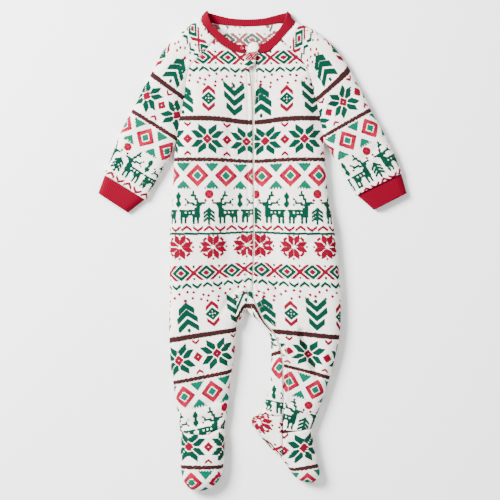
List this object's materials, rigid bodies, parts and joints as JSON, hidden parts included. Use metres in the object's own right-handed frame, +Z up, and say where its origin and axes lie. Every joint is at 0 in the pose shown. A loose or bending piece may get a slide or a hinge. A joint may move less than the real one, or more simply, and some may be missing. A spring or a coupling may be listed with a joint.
{
  "type": "footed zip pajama",
  "caption": "Baby's footed fleece one-piece pajama with raglan sleeves, rib collar and cuffs and a zip from neck to ankle, laid flat face up.",
  "frame": {"origin": "middle of the underside, on the surface it lies on", "axes": "+X to the wearer's left, +Y to the neck, +Z up out of the front"},
  "size_m": [0.4644, 0.7212, 0.0291],
  "materials": {
    "fleece": "napped fleece, cream ground with a red, green and dark brown knit-look print",
    "rib": "matte rib knit, red",
    "zip_tape": "woven cream zip tape with a moulded coil",
    "zip_plastic": "cream plastic",
    "snap": "red snap cap"
  },
  "bodies": {
    "root": {"front_right": "fleece", "front_left": "fleece", "crotch_gusset": "fleece", "back_panel": "fleece", "sleeve_right": "fleece", "sleeve_left": "fleece", "cuff_right": "rib", "cuff_left": "rib", "collar": "rib", "vamp_right": "fleece", "sole_right": "fleece", "vamp_left": "fleece", "sole_left": "fleece", "heel_left": "fleece", "zip_tape_right": "zip_tape", "zip_tape_left": "zip_tape", "zip_slider": "zip_plastic", "zip_pull": "zip_plastic", "zip_guard": "fleece", "collar_snap": "snap"}
  },
  "joints": []
}
